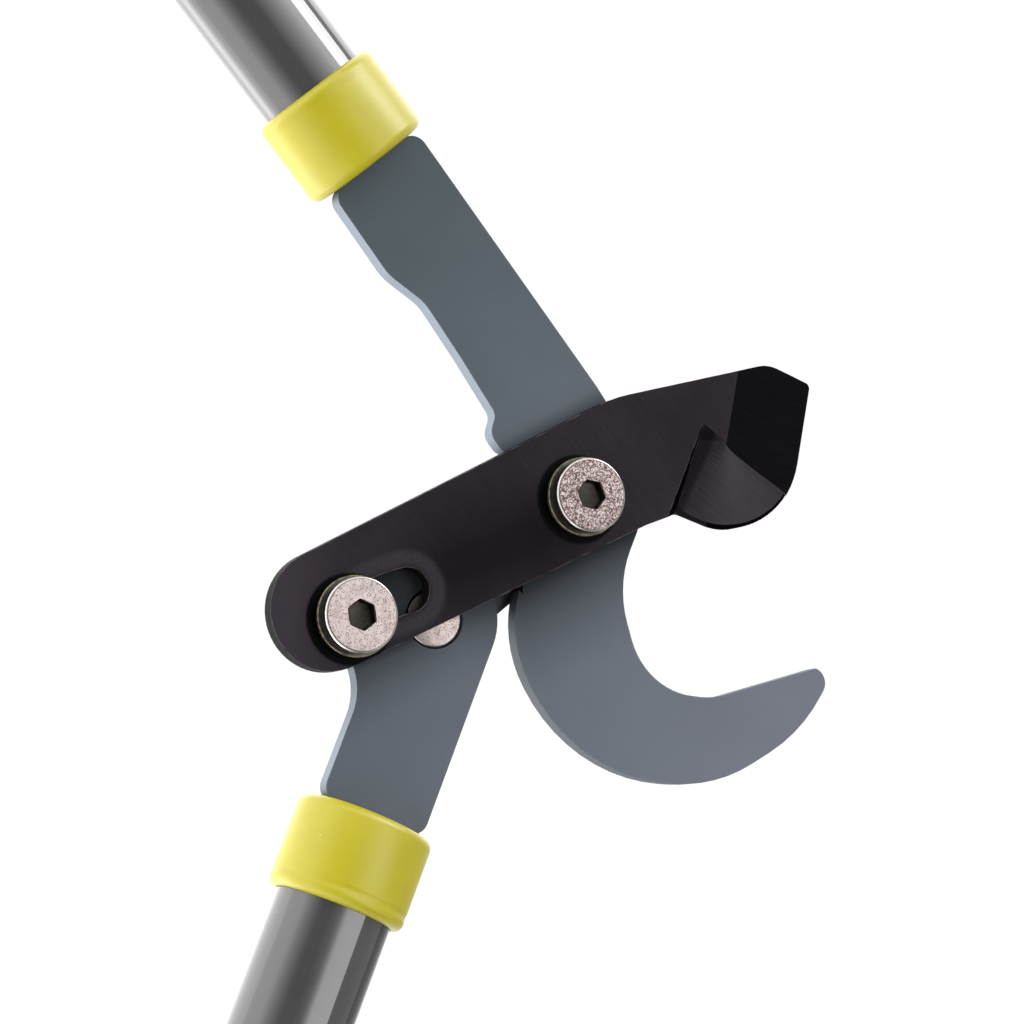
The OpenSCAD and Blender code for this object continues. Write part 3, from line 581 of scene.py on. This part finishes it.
# Painted shade: a thin dark ring, a painted dark reflection, where a head's rim starts to round
ring = maths(tree, "MULTIPLY", steps(tree, upright, 0.999, 0.997),
             steps(tree, upright, 0.96, 0.975))
ring = maths(tree, "MULTIPLY", ring, steps(tree, height, 0.0252, 0.0254, 0, 0.9))
painted_shade = maths(tree, "MAXIMUM", painted_shade, ring)
base = blend_colours(tree, painted_shade, base, (0.02, 0.018, 0.016, 1))
# The rim is smoother than the face
rough = maths(tree, "MULTIPLY", noisy(tree, tone["Grain"], 0.28, 0.46),
              steps(tree, upright, 0.9, 0.99, 0.35, 1.0))
feed(tree, shader, base, rough, tone["Cloud"], 0.25)

MM = 0.001
MAIN_PIVOT = np.array([0.0, 0.0])
LINK_PIVOT = np.array([-41.1362, -23.75]) * MM
DRIVE_PIN = np.array([-62.6555, -20.9551]) * MM
BLADE_TOP, HEAD_Z, HEAD_H = 20.85, 22.05, 3.8


def shank_rows(shank_r, end, head_z):
    """From the end's middle over its chamfer up the shank to the head."""
    return [(0, end, 0), (shank_r - 0.5, end, 0), (shank_r - 0.12, end + 0.38, 0),
            (shank_r, end + 0.6, 0), (shank_r, head_z, 0)]


def bolt_profile(shank_r, end):
    """Up the shank, out under the head, over its round rim, where angle a runs from the side to
    the top, in to the hex socket, down its walls, and down the drill's cone to the middle."""
    head_r, round_r, socket, depth = 9.0, 0.65, 6.3, 2.4
    top = HEAD_Z + HEAD_H
    flat = socket / 2
    rim = [(head_r - round_r * (1 - np.cos(a)), top - round_r * (1 - np.sin(a)), 0)
           for a in np.linspace(0, np.pi / 2, 9)]
    return np.array([
        *shank_rows(shank_r, end, HEAD_Z), (head_r - 0.15, HEAD_Z, 0),
        (head_r, HEAD_Z + 0.15, 0), *rim, (head_r - round_r - 0.1, top, 0),
        (flat + 1.6, top, 0), (flat + 0.45, top, 0.8), (flat + 0.25, top, 0.8),
        (flat, top - 0.25, 1), (flat, top - 0.5, 1), (flat, top - depth, 1),
        (flat - 0.2, top - depth, 0), (0, top - depth - 0.8, 0)]) * [MM, MM, 1]


# Painted shade: the hex sockets get a much darker copy of the zinc, for the shade inside them
socket_painted_shade, tree, shader = finish_of("socket_painted_shade", Metallic=0.8, Specular_IOR_Level=0.5)
tone = use(tree, mottle, {"Scale": 900.0, "Grain": 4000.0})
base = blend_colours(tree, tone["Cloud"], (0.006, 0.0045, 0.003, 1), (0.014, 0.012, 0.009, 1))
feed(tree, shader, base, noisy(tree, tone["Grain"], 0.16, 0.3))
SOCKET_R = 4.2 * MM

for name, cad_node, place, shank_r, end, body, turn in (
        ("main_bolt_turned", "main_bolt", MAIN_PIVOT, 5.0, 0.0, "upper", 12.0),
        ("drive_bolt_turned", "drive_bolt", DRIVE_PIN, 4.0, 5.15, "lower", 59.0)):
    profile = bolt_profile(shank_r, end)
    piece = skin(name, turned_rows(place, profile, columns=144, turn=np.radians(turn)))
    piece.data.materials.append(zinc)
    piece.data.materials.append(socket_painted_shade)
    centres = face_values(piece.data, "center") - [*place, 0]
    in_socket = (np.hypot(centres[:, 0], centres[:, 1]) < SOCKET_R) \
        & (centres[:, 2] > (HEAD_Z + 0.05) * MM) & (centres[:, 2] < (HEAD_Z + HEAD_H - 0.03) * MM)
    piece.data.polygons.foreach_set("material_index", in_socket.astype(np.int32))
    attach(piece, body)
    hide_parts(cad_node)

# The link bolt: a plain flat disc on a shank, under the blade, in the lower arm's recess
disc_r, disc_z, disc_top = 6.9, 13.65, 16.05
profile = np.array([
    *shank_rows(4.0, 1.15, disc_z), (disc_r - 0.15, disc_z, 0), (disc_r, disc_z + 0.15, 0),
    (disc_r, disc_top - 0.45, 0), (disc_r - 0.1, disc_top - 0.25, 0),
    (disc_r - 0.35, disc_top - 0.05, 0), (disc_r - 0.5, disc_top, 0), (0, disc_top, 0)])
disc = skin("link_bolt_disc", turned_rows(LINK_PIVOT, profile * [MM, MM, 1]))
disc.data.materials.append(zinc)
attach(disc, "link")
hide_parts("link_bolt")


# The washers, bushes and nuts.
# Stamped washers, dark under the two heads and zinc plated behind, ground bushes that the plates
# turn on, and hexagon nuts with coned corners.

M10_BORE, M8_BORE = 5.02, 4.02


def ring_rows(place, outer, inner, low, high):
    """A closed ring: a rectangle with small chamfers, turned round a vertical axis."""
    edge = 0.15
    return turned_rows(place, np.array([
        (inner, low + edge), (inner + edge, low), (outer - edge, low), (outer, low + edge),
        (outer, high - edge), (outer - edge, high), (inner + edge, high),
        (inner, high - edge)]) * MM)


def nut_rows(place, across, bore, low, height, turn):
    """A hexagon nut: at each height of the cone the radius is the smaller of the hexagon's and
    the cone's, then the hexagon rises to the top face, and the bore closes the ring."""
    face, corner, slope, edge = across / 2 - 0.2, across / 2 / np.cos(np.pi / 6), 0.5, 0.15
    cone = np.linspace(face, corner, 7)
    profile = [(bore, low + 0.3, 0), (bore + 0.3, low, 0), (face - 0.05, low, 0)]
    profile += [(r, low + 0.02 + slope * (r - face), 0) for r in cone]
    profile += [(across / 2, low + height - edge, 1), (across / 2 - edge, low + height, 1),
                (bore + 0.3, low + height, 0), (bore, low + height - 0.3, 0)]
    grid = turned_rows(place, np.array(profile) * [MM, MM, 1], turn=np.radians(turn))
    hexagon = turned_rows(place, [(across / 2 * MM, 0, 1)], turn=np.radians(turn))
    middle = np.array([*place, 0.0])
    reach = np.linalg.norm((grid - middle)[..., :2], axis=-1)
    limit = np.linalg.norm((hexagon - middle)[..., :2], axis=-1)
    scale = np.minimum(1, limit / reach)[..., None]
    grid[..., :2] = middle[:2] + (grid[..., :2] - middle[:2]) * scale
    return grid


dark_washer, tree, shader = finish_of("dark_washer", Metallic=0.7, Specular_IOR_Level=0.5)
tone = use(tree, mottle, {"Scale": 300.0, "Grain": 3000.0})
worn = use(tree, edge_wear, {"Radius": 0.0003, "Breaks": 600.0})["Mask"]
base = blend_colours(tree, tone["Cloud"], (0.03, 0.027, 0.025, 1), (0.075, 0.068, 0.06, 1))
base = blend_colours(tree, worn, base, (0.34, 0.28, 0.10, 1))
feed(tree, shader, base, noisy(tree, tone["Grain"], 0.3, 0.45))

for cad_node, place, outer, inner, low, high, body, finish, slot in (
        ("main_front_washer", MAIN_PIVOT, 9.6, M10_BORE, BLADE_TOP, HEAD_Z, "upper",
         dark_washer, "dark_washer"),
        ("drive_front_washer", DRIVE_PIN, 9.6, M8_BORE, BLADE_TOP, HEAD_Z, "lower",
         dark_washer, "dark_washer"),
        ("main_back_washer", MAIN_PIVOT, 9.4, M10_BORE, 6.35, 7.55, "upper", zinc, "zinc_steel"),
        ("drive_back_washer", DRIVE_PIN, 8.0, M8_BORE, 10.55, 11.75, "lower", zinc, "zinc_steel"),
        ("link_back_washer", LINK_PIVOT, 8.0, M8_BORE, 6.55, 7.75, "link", zinc, "zinc_steel"),
        ("main_bush", MAIN_PIVOT, 6.0, M10_BORE, 7.55, BLADE_TOP, "upper", zinc, "zinc_steel"),
        ("drive_bush", DRIVE_PIN, 5.0, M8_BORE, 16.25, BLADE_TOP, "lower", zinc, "zinc_steel")):
    piece = skin(cad_node + "_ring", ring_rows(place, outer, inner, low, high), closed_rows=True)
    piece.data.materials.append(finish)
    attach(piece, body)
    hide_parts(cad_node)

for cad_node, place, across, bore, low, height, turn, body in (
        ("main_nut", MAIN_PIVOT, 16, M10_BORE, 0, 6.35, 30, "upper"),
        ("drive_nut", DRIVE_PIN, 13, M8_BORE, 6.15, 4.4, 40, "lower"),
        ("link_nut", LINK_PIVOT, 13, M8_BORE, 2.15, 4.4, 50, "link")):
    piece = skin(cad_node + "_hex", nut_rows(place, across, bore, low, height, turn),
                 closed_rows=True)
    piece.data.materials.append(zinc)
    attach(piece, body)
    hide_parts(cad_node)


# The tubes.
# Two oval steel tubes in a glossy mid grey paint with a little dust in it. The arm's tang, a
# plastic plug and a cross pin are inside each tube's end.

# For each handle a point of its axis, the axis's direction in degrees, and how far along it, in
# millimetres, the collar starts; SNUG is the play of what a tube slides into or over
HANDLES = {"upper": (np.array([9.3431, 5.6139]) * MM, 121.0, 94.0),
           "lower": (np.array([-38.9933, -25.0376]) * MM, 239.0, 49.5)}
HANDLE_Z = 14.0 * MM
TUBE_H, TUBE_W, TUBE_WALL, SNUG = 22.3, 28.5, 1.5, 0.04
HANDLE_LEN, CAP_T = 597.0, 6.0


def laid_rows(handle, along, across, up):
    """Places points given along, across and above a handle's axis, in millimetres from the
    collar's near end, in the frame of the whole lopper."""
    foot, direction, start = HANDLES[handle]
    a = np.radians(direction)
    grid = np.empty((*np.broadcast_shapes(along.shape, across.shape), 3))
    reach = (along + start) * MM
    grid[..., 0] = foot[0] + reach * np.cos(a) - across * MM * np.sin(a)
    grid[..., 1] = foot[1] + reach * np.sin(a) + across * MM * np.cos(a)
    grid[..., 2] = HANDLE_Z + up * MM
    return grid


def oval_rows(handle, sections, columns=128):
    """Oval rings along a handle, one for each section [along, thickness, width]: the points are
    thickness / 2 sin t above and width / 2 cos t beside the axis."""
    sections = np.array(sections, float)
    t = np.linspace(0, 2 * np.pi, columns, endpoint=False)
    across = sections[:, 2, None] / 2 * np.cos(t)
    up = sections[:, 1, None] / 2 * np.sin(t)
    return laid_rows(handle, sections[:, :1], across, up)


tube_paint, tree, shader = finish_of("tube_paint", Specular_IOR_Level=0.1, Coat_Weight=1.0,
                                     Coat_Roughness=0.03, Coat_IOR=1.6)
tone = use(tree, mottle, {"Scale": 25.0, "Grain": 1500.0})
dust = use(tree, specks, {"Scale": 330.0, "Size": 0.035, "Share": 0.2})["Mask"]
dark_dust = use(tree, specks, {"Scale": 230.0, "Size": 0.04, "Share": 0.12})["Mask"]
base = blend_colours(tree, tone["Cloud"], (0.021, 0.0203, 0.0215, 1), (0.025, 0.0243, 0.0255, 1))
base = blend_colours(tree, dust, base, (0.6, 0.6, 0.6, 1))
base = blend_colours(tree, dark_dust, base, (0.03, 0.03, 0.03, 1))
feed(tree, shader, base, steps(tree, tone["Cloud"], 0, 1, 0.28, 0.34), tone["Grain"], 0.03)

plug_plastic, tree, shader = finish_of("plug_plastic", Specular_IOR_Level=0.4)
tone = use(tree, mottle, {"Scale": 80.0, "Grain": 2000.0})
base = blend_colours(tree, tone["Cloud"], (0.02, 0.02, 0.022, 1), (0.032, 0.032, 0.034, 1))
feed(tree, shader, base, noisy(tree, tone["Grain"], 0.5, 0.62))

for handle in HANDLES:
    near, far, chamfer = 3.0, HANDLE_LEN - CAP_T, 0.2
    inner_h, inner_w = TUBE_H - 2 * TUBE_WALL, TUBE_W - 2 * TUBE_WALL
    sections = [(near, inner_h, inner_w), (near, TUBE_H - 2 * chamfer, TUBE_W - 2 * chamfer),
                (near + chamfer, TUBE_H, TUBE_W)]
    sections += [(x, TUBE_H, TUBE_W) for x in np.linspace(near + 10, far - 10, 30)]
    sections += [(far - chamfer, TUBE_H, TUBE_W),
                 (far, TUBE_H - 2 * chamfer, TUBE_W - 2 * chamfer), (far, inner_h, inner_w)]
    tube = skin(handle + "_tube_oval", oval_rows(handle, sections), closed_rows=True)
    tube.data.materials.append(tube_paint)
    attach(tube, handle)
    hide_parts(handle + "_tube")
    for kind, finish in (("_plug", plug_plastic), ("_cross_pin", zinc)):
        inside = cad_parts[handle + kind]
        inside.data.materials.clear()
        inside.data.materials.append(finish)


# The collars.
# Lime yellow sleeves, moulded with a rounded rim at both ends and an end wall that the arm's tang
# goes through. The plastic is satin and its surface very slightly uneven.

lime, tree, shader = finish_of("lime_plastic", Specular_IOR_Level=0.4)
tone = use(tree, mottle, {"Scale": 70.0, "Grain": 900.0})
nicks = use(tree, specks, {"Scale": 300.0, "Size": 0.06, "Share": 0.1})["Mask"]
base = blend_colours(tree, tone["Cloud"], (0.225, 0.196, 0.001, 1), (0.25, 0.218, 0.0014, 1))
base = blend_colours(tree, nicks, base, (0.35, 0.32, 0.03, 1))
feed(tree, shader, base, steps(tree, tone["Cloud"], 0, 1, 0.33, 0.4), tone["Grain"], 0.06, 0.0002)

COLLAR_H, COLLAR_W, COLLAR_LEN, COLLAR_WALL = 26.6, 33.6, 22.5, 3.0
ARM_RIM, TUBE_RIM = 2.4, 2.2
CREASE, VALLEY = 18.8, 1.3
VALLEY_DEPTH = {"upper": 0.12, "lower": 0.35}
BORE_H, BORE_W = TUBE_H + SNUG, TUBE_W + SNUG
TANG_SLOT_W, TANG_SLOT_H = 17.04, 4.54


def rim_sections(at, thick, wide, radius, side, count=7):
    """A quarter round between the side and the end face: angle a runs from the side, where the
    section is full, to the end face, where it is smaller by the radius all round."""
    a = np.linspace(0, np.pi / 2, count)
    a = a if side > 0 else a[::-1]
    inset = 2 * radius * (1 - np.cos(a))
    return [(at - side * radius * (1 - np.sin(v)), thick - d, wide - d) for v, d in zip(a, inset)]


for handle in HANDLES:
    outside = rim_sections(0, COLLAR_H, COLLAR_W, ARM_RIM, -1)
    # A shallow valley, a raised cosine, sets off the rim on the tube's side
    for x in np.linspace(-VALLEY, VALLEY, 9):
        dip = VALLEY_DEPTH[handle] * (1 + np.cos(np.pi * x / VALLEY)) / 2
        outside.append((CREASE + x, COLLAR_H - dip, COLLAR_W - dip))
    outside += rim_sections(COLLAR_LEN, COLLAR_H, COLLAR_W, TUBE_RIM, 1)[:-1]
    outside += [(COLLAR_LEN, BORE_H + 0.5, BORE_W + 0.5), (COLLAR_LEN - 0.3, BORE_H, BORE_W),
                (COLLAR_WALL, BORE_H, BORE_W)]
    columns = 144
    grid = oval_rows(handle, outside, columns)
    # The slot for the tang: at angle t its edge is where the ray leaves the slot's rectangle
    t = np.linspace(0, 2 * np.pi, columns, endpoint=False)
    edge = np.minimum(TANG_SLOT_W / 2 / np.maximum(abs(np.cos(t)), 1e-9),
                      TANG_SLOT_H / 2 / np.maximum(abs(np.sin(t)), 1e-9))
    slot_wall = laid_rows(handle, np.array([[COLLAR_WALL], [0.0]]), edge * np.cos(t),
                          edge * np.sin(t))
    collar = skin(handle + "_collar_sleeve", np.vstack([grid, slot_wall]), closed_rows=True)
    collar.data.materials.append(lime)
    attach(collar, handle)
    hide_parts(handle + "_collar")


# The grips and end caps.
# Soft rubber sleeves pushed on to the tubes, with a slight waist and ring grooves, and lime yellow
# caps with a stub inside the tube. They are outside the photograph, so they are of a plain kind.

rubber, tree, shader = finish_of("grip_rubber", Specular_IOR_Level=0.35, Sheen_Weight=0.15,
                                 Sheen_Roughness=0.5)
tone = use(tree, mottle, {"Scale": 90.0, "Grain": 2600.0})
base = blend_colours(tree, tone["Cloud"], (0.020, 0.020, 0.021, 1), (0.036, 0.036, 0.037, 1))
feed(tree, shader, base, noisy(tree, tone["Grain"], 0.58, 0.74), tone["Grain"], 0.3, 0.0002)

GRIP_H, GRIP_W, GRIP_LEN, WAIST, GROOVES = 28.0, 36.0, 176.0, 1.6, 9


def grip_sections():
    """Along the grip the section narrows by a parabola to the waist, and each ring groove takes
    away the depth times the square of a half cosine of the distance from its middle."""
    body = GRIP_LEN - CAP_T
    rim, smooth, first, reach, depth = 6.0, 34.0, 40.0, 1.9, 0.8
    middles = np.linspace(first, GRIP_LEN - first, GROOVES)
    grooves = middles[:, None] + np.linspace(-reach, reach, 9)
    places = np.concatenate([np.linspace(rim, smooth, 8), grooves.ravel(),
                             np.linspace(GRIP_LEN - smooth, body - 2, 6)])
    share = 2 * places / body - 1
    waist = 2 * WAIST * np.maximum(0, 1 - share ** 2)
    gap = abs(places[:, None] - middles).min(1)
    groove = 2 * depth * np.cos(np.clip(gap / reach, 0, 1) * np.pi / 2) ** 2
    return [(x, GRIP_H - d, GRIP_W - d) for x, d in zip(places, waist + groove)]


for handle in HANDLES:
    foot, far, rim = HANDLE_LEN - GRIP_LEN, GRIP_LEN - CAP_T, 2.0
    sections = rim_sections(0, GRIP_H, GRIP_W, rim, -1, 6) + grip_sections()
    sections += [(far - 0.5, GRIP_H, GRIP_W), (far, GRIP_H - 1, GRIP_W - 1),
                 (far, BORE_H, BORE_W), (0, BORE_H, BORE_W)]
    sections = [(x + foot, h, w) for x, h, w in sections]
    grip = skin(handle + "_grip_rubber", oval_rows(handle, sections), closed_rows=True)
    grip.data.materials.append(rubber)
    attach(grip, handle)
    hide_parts(handle + "_grip")

    stub_h, stub_w = TUBE_H - 2 * TUBE_WALL - SNUG, TUBE_W - 2 * TUBE_WALL - SNUG
    stub, edge, dome = 14.0, 0.4, 4.0
    sections = [(-stub, 0, 0), (-stub, stub_h - 1, stub_w - 1), (0.5 - stub, stub_h, stub_w),
                (0, stub_h, stub_w), (0, GRIP_H - 2 * edge, GRIP_W - 2 * edge),
                (edge, GRIP_H, GRIP_W)]
    sections += rim_sections(CAP_T, GRIP_H, GRIP_W, dome, 1, 9) + [(CAP_T, 0, 0)]
    sections = [(x + HANDLE_LEN - CAP_T, h, w) for x, h, w in sections]
    cap = skin(handle + "_end_cap_dome", oval_rows(handle, sections))
    cap.data.materials.append(lime)
    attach(cap, handle)
    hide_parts(handle + "_end_cap")
